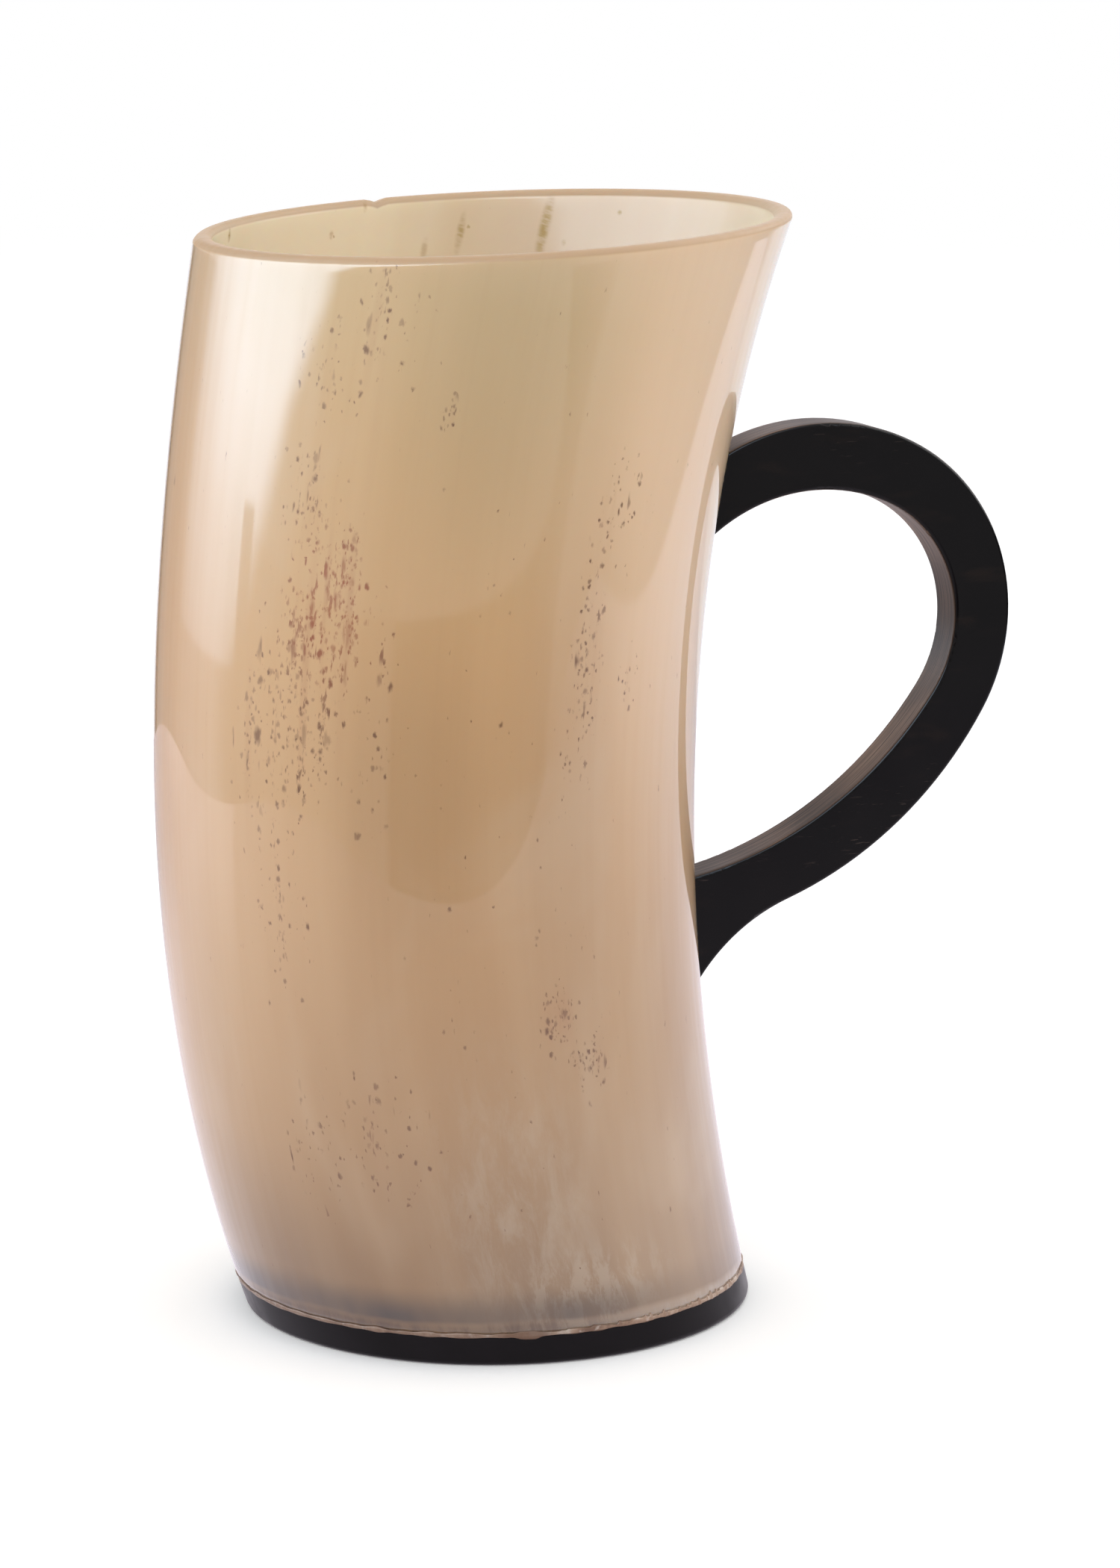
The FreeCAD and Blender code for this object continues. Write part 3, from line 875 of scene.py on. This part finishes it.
def soft_light(graph, place):
    """The even light that falls on everything, weakest from the dark room in front."""
    height = graph.separate(place)["Z"]
    toward_front = graph.vector("DOT_PRODUCT", place, FRONT)
    toward_right = graph.vector("DOT_PRODUCT", place, (-FRONT[1], FRONT[0], 0.0))
    dim = graph.maths("MULTIPLY", toward_front, -0.36)
    dim = graph.maths("MULTIPLY_ADD", toward_right, 0.16, dim)
    dim = graph.product(dim, graph.step(height, 0.45, 0.05))
    return graph.maths("ADD", dim, graph.step(height, 0.1, 0.8, 0.82, 1.2))


def studio_world():
    """What the gloss sees: a dim room in front with a stand in it, a softbox on the
    left, a white backdrop behind. The camera itself sees only plain white, and the
    horn's body colour is lit by an even, soft light."""
    world = bpy.data.worlds.new("studio")
    bpy.context.scene.world = world
    world.use_nodes = True
    world.node_tree.nodes.clear()
    graph = Graph(world.node_tree)
    place = graph.node("ShaderNodeTexCoord").outputs["Generated"]
    direction = graph.separate(place)
    # degrees round from the front, positive towards the handle, and degrees up
    turn = graph.maths("DEGREES", graph.maths(
        "ARCTAN2", direction["X"], graph.maths("MULTIPLY", direction["Y"], -1.0)))
    rise = graph.maths("DEGREES", graph.maths("ARCSINE", direction["Z"]))

    gloss = graph.mix(
        backdrop_share(graph, turn), room_light(graph, turn, rise), BACKDROP_COLOUR)
    lamp = graph.mix(softbox_light(graph, turn, rise), BLACK, SOFTBOX_COLOUR)
    gloss = graph.mix(1.0, gloss, lamp, "ADD")
    gloss = graph.mix(1.0, gloss, high_light(graph, turn, rise), "ADD")
    path = graph.node("ShaderNodeLightPath").outputs
    strength = graph.mix(path["Is Glossy Ray"], soft_light(graph, place), gloss)
    strength = graph.mix(path["Is Camera Ray"], strength, (1.0, 1.0, 1.0, 1.0))
    background = graph.node("ShaderNodeBackground", {"Color": strength})
    output = graph.node("ShaderNodeOutputWorld")
    world.node_tree.links.new(background.outputs[0], output.inputs["Surface"])
    world.cycles.sampling_method = "NONE"


def sheet_share(graph, place):
    """The white sheet, a rectangle with its left and right corners rounded
    differently: 1 on it and 0 off it, and how it dims towards its near edge."""
    turned = graph.node("ShaderNodeMapping", {
        "Vector": place, "Rotation": (0, 0, SHEET_TURN)}).outputs[0]
    along = graph.separate(turned)
    sideways = graph.maths("SUBTRACT", along["X"], SHEET_CENTRE[0])
    left_corner, right_corner = SHEET_CORNERS
    corner = graph.maths("GREATER_THAN", sideways, 0.0)
    corner = graph.maths("MULTIPLY_ADD", corner, right_corner - left_corner, left_corner)
    beyond = []
    for value, centre, half in zip(along, SHEET_CENTRE, SHEET_HALF):
        off = graph.maths("ABSOLUTE", graph.maths("SUBTRACT", value, centre))
        off = graph.maths("ADD", graph.maths("SUBTRACT", off, half), corner)
        off = graph.maths("MAXIMUM", off, 0.0)
        beyond.append(graph.maths("POWER", off, 2.0))
    beyond = graph.maths("SQRT", graph.maths("ADD", *beyond))
    sheet = graph.step(graph.maths("SUBTRACT", beyond, corner), 0.002, -0.002)
    near_edge = graph.step(along["Y"], -0.05, -0.26, 1.0, 0.62)
    return sheet, near_edge


def sheet_light(graph, place, near_edge):
    """The sheet's light: dimmer at its near edge and its far part, and brightened by
    the softbox on the left, behind a line from the mug."""
    floor_at = graph.separate(place)
    far_part = graph.step(floor_at["Y"], 0.12, 0.30, 1.0, 0.6)
    lit = graph.product(
        graph.step(graph.maths("MULTIPLY_ADD", floor_at["X"], 0.28, floor_at["Y"]),
                   -0.014, 0.002),
        graph.step(floor_at["X"], -0.12, -0.30, 0.1, 0.8))
    brightness = graph.maths("ADD", graph.product(near_edge, far_part), lit)
    tone = graph.mix(graph.step(floor_at["X"], 0.15, 0.40),
                     (0.94, 0.88, 0.96, 1), (0.94, 0.95, 1.10, 1))
    return graph.node("ShaderNodeVectorMath", {
        0: tone, "Scale": brightness}, operation="SCALE").outputs[0]


def studio_floor():
    """A white floor. The gloss sees it as a sheet that ends near the mug, and sees
    the room beyond it."""
    angle = np.linspace(0, 2 * np.pi, 96, endpoint=False)
    circle = np.stack([np.cos(angle), np.sin(angle), 0 * angle], axis=-1)
    rings = [radius * circle for radius in (0.0005, 0.1, 0.3, 0.8, 2.0, 6.0, 20.0)]
    floor = ring_mesh("studio_floor", rings, closed=False)
    made, graph, surface = material("studio_floor")
    place = graph.node("ShaderNodeTexCoord").outputs["Object"]
    sheet, near_edge = sheet_share(graph, place)
    table = sheet_light(graph, place, near_edge)
    # for other rays it is diffuse near the mug, and melts into the white far off
    plain = graph.node("ShaderNodeBsdfDiffuse", {"Color": (0.98, 0.98, 0.98, 1)})
    glow = graph.node("ShaderNodeEmission", {"Color": (0.14, 0.14, 0.14, 1)})
    plain = graph.node("ShaderNodeAddShader", {0: plain.outputs[0], 1: glow.outputs[0]})
    horizon = graph.node("ShaderNodeEmission", {"Color": (1, 1, 1, 1)})
    away = graph.vector("LENGTH", place)
    plain = graph.node("ShaderNodeMixShader", {
        0: graph.step(away, 0.3, 1.5), 1: plain.outputs[0], 2: horizon.outputs[0]})
    shown = graph.node("ShaderNodeMixShader", {
        0: sheet, 1: graph.node("ShaderNodeBsdfTransparent").outputs[0],
        2: graph.node("ShaderNodeEmission", {"Color": table}).outputs[0]})
    glossy = graph.node("ShaderNodeLightPath").outputs["Is Glossy Ray"]
    choose = graph.node("ShaderNodeMixShader", {
        0: glossy, 1: plain.outputs[0], 2: shown.outputs[0]})
    output = next(n for n in made.node_tree.nodes if n.type == "OUTPUT_MATERIAL")
    made.node_tree.nodes.remove(surface)
    made.node_tree.links.new(choose.outputs[0], output.inputs["Surface"])
    made.cycles.emission_sampling = "NONE"
    floor.data.materials.append(made)


studio_world()
studio_floor()

# ------------------------------------------------------------------ camera
back = Vector((
    math.sin(CAMERA_TURN) * math.cos(CAMERA_RISE),
    -math.cos(CAMERA_TURN) * math.cos(CAMERA_RISE),
    math.sin(CAMERA_RISE)))
lens = bpy.data.cameras.new("camera")
lens.sensor_width = SENSOR_WIDTH
lens.lens = SENSOR_WIDTH * CAMERA_DISTANCE / FRAME_HEIGHT_AT_TARGET
lens.clip_start = 0.01
camera = bpy.data.objects.new("camera", lens)
camera.rotation_mode = "QUATERNION"
camera.location = CAMERA_TARGET + back * CAMERA_DISTANCE
camera.rotation_quaternion = (
    (-back).to_track_quat("-Z", "Y")
    @ Matrix.Rotation(CAMERA_ROLL, 3, "Z").to_quaternion())
bpy.context.scene.collection.objects.link(camera)
bpy.context.scene.camera = camera
bpy.context.scene.view_settings.view_transform = "Standard"
